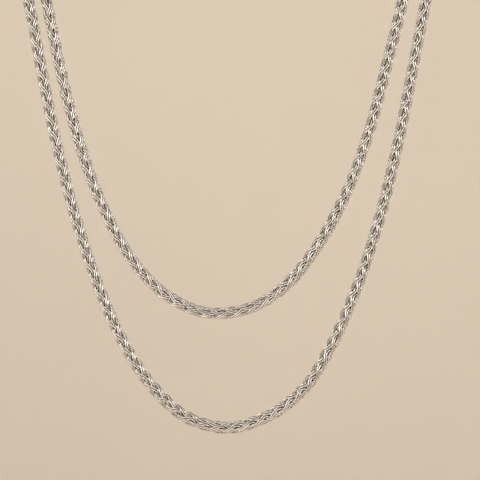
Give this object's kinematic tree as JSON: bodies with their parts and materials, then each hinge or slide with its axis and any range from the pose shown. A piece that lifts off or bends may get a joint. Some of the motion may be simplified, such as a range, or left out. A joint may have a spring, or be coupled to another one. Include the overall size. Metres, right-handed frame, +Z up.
{
  "type": "two-strand woven chain necklace",
  "caption": "Layered necklace: nested strands of round woven chain in bright white metal, joined by jump rings to one barrel clasp.",
  "frame": {"origin": "the point of the clasp that rests on the nape of the neck", "axes": "+Z up along the neck, -Y towards the front of the necklace, +X towards the right as seen from the front"},
  "size_m": [0.1134, 0.0875, 0.1577],
  "materials": {
    "woven_chain": "polished white metal",
    "end_cap": "polished white metal",
    "jump_ring": "polished white metal",
    "clasp": "polished white metal"
  },
  "bodies": {
    "root": {"short_strand": "woven_chain", "long_strand": "woven_chain", "short_cap_left": "end_cap", "short_cap_right": "end_cap", "long_cap_left": "end_cap", "long_cap_right": "end_cap", "jump_ring_left": "jump_ring", "jump_ring_right": "jump_ring", "clasp": "clasp"}
  },
  "joints": []
}
